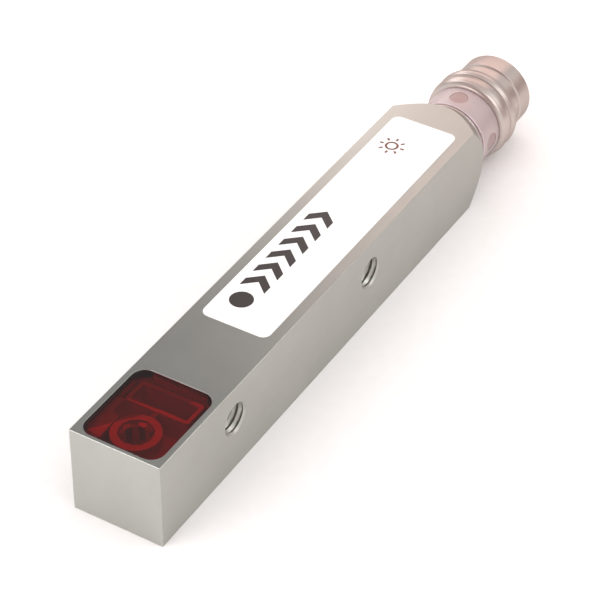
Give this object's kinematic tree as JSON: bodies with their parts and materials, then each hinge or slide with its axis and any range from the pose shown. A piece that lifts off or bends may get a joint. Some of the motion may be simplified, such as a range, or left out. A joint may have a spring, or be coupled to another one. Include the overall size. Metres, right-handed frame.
{
  "type": "photoelectric sensor",
  "caption": "Miniature square-bar photoelectric sensor in a steel housing, with a red optics window, threaded cross holes, a status light ring and a small round plug.",
  "frame": {"origin": "centre of the bounding box's underside, under the middle of the part's whole length", "axes": "+X from the optics end to the plug, +Z out of the face that carries the window and the label, Y across the bar"},
  "size_m": [0.0608, 0.008, 0.0081],
  "materials": {
    "satin_steel": "satin nickel-plated",
    "plug_steel": "fine-turned, nickel-plated",
    "red_pane": "polished dark red filter plastic",
    "black_rubber": "matte",
    "label_film": "printed white film",
    "black_plastic": "moulded",
    "clear_lens": "polished",
    "led_plastic": "moulded",
    "sensor_face": "dark clear resin",
    "board_green": "solder mask",
    "epoxy_black": "moulded",
    "metal_can": "plated",
    "ceramic_tan": "ceramic",
    "resistor_black": "glazed",
    "frosted_plastic": "frosted translucent",
    "pipe_plastic": "clear light pipe",
    "gold_plate": "gold-plated",
    "amber_resin": "potting resin",
    "brown_pvc": "extruded",
    "blue_pvc": "extruded",
    "black_pvc": "extruded"
  },
  "bodies": {
    "root": {"housing": "satin_steel", "base_cover": "satin_steel", "window": "red_pane", "window_seal": "black_rubber", "label": "label_film", "optics_carrier": "black_plastic", "emitter_lens": "clear_lens", "receiver_lens": "clear_lens", "main_board": "board_green", "emitter_led": "led_plastic", "receiver_diode": "sensor_face", "signal_chip": "epoxy_black", "controller_chip": "epoxy_black", "resonator": "metal_can", "voltage_regulator": "epoxy_black", "output_transistor_1": "epoxy_black", "output_transistor_2": "epoxy_black", "surge_diode": "epoxy_black", "capacitor_1": "ceramic_tan", "capacitor_2": "ceramic_tan", "capacitor_3": "ceramic_tan", "capacitor_4": "ceramic_tan", "capacitor_5": "ceramic_tan", "capacitor_6": "ceramic_tan", "resistor_1": "resistor_black", "resistor_2": "resistor_black", "resistor_3": "resistor_black", "resistor_4": "resistor_black", "resistor_5": "resistor_black", "resistor_6": "resistor_black", "light_ring": "frosted_plastic", "light_board": "board_green", "light_pipe_1": "pipe_plastic", "light_pipe_2": "pipe_plastic", "light_pipe_3": "pipe_plastic", "light_pipe_4": "pipe_plastic", "status_led_1": "led_plastic", "status_led_2": "led_plastic", "status_led_3": "led_plastic", "status_led_4": "led_plastic", "plug_shell": "plug_steel", "bar_seal": "black_rubber", "contact_carrier": "black_plastic", "contact_pin_1": "gold_plate", "contact_pin_3": "gold_plate", "contact_pin_4": "gold_plate", "resin_plug": "amber_resin", "lead_brown": "brown_pvc", "lead_blue": "blue_pvc", "lead_black": "black_pvc"}
  },
  "joints": []
}
